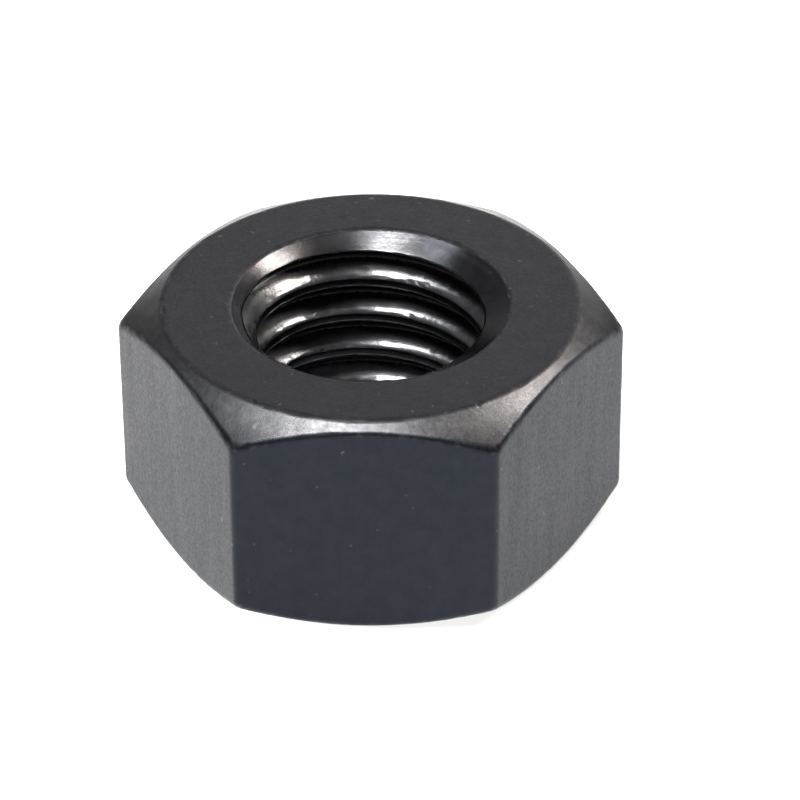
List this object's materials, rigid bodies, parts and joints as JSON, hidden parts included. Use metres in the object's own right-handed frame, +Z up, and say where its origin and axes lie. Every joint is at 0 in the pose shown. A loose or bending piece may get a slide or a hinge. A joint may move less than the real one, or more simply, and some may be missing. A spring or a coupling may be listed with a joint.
{
  "type": "hex nut",
  "caption": "Hex nut with chamfered corners on both faces, a countersunk mouth at each end and a right-hand metric thread, in blackened steel.",
  "frame": {"origin": "centre of the lower bearing face, on the thread axis", "axes": "+Z up the thread axis from the lower bearing face to the upper one; +X through a corner of the hexagon; -Y out of one flat"},
  "size_m": [0.015, 0.013, 0.0072],
  "materials": {
    "blackened_steel": "black oxide, matt, with bare bright metal worn through on the chamfer, countersink and thread crests"
  },
  "bodies": {
    "root": {"nut_body": "blackened_steel"}
  },
  "joints": []
}
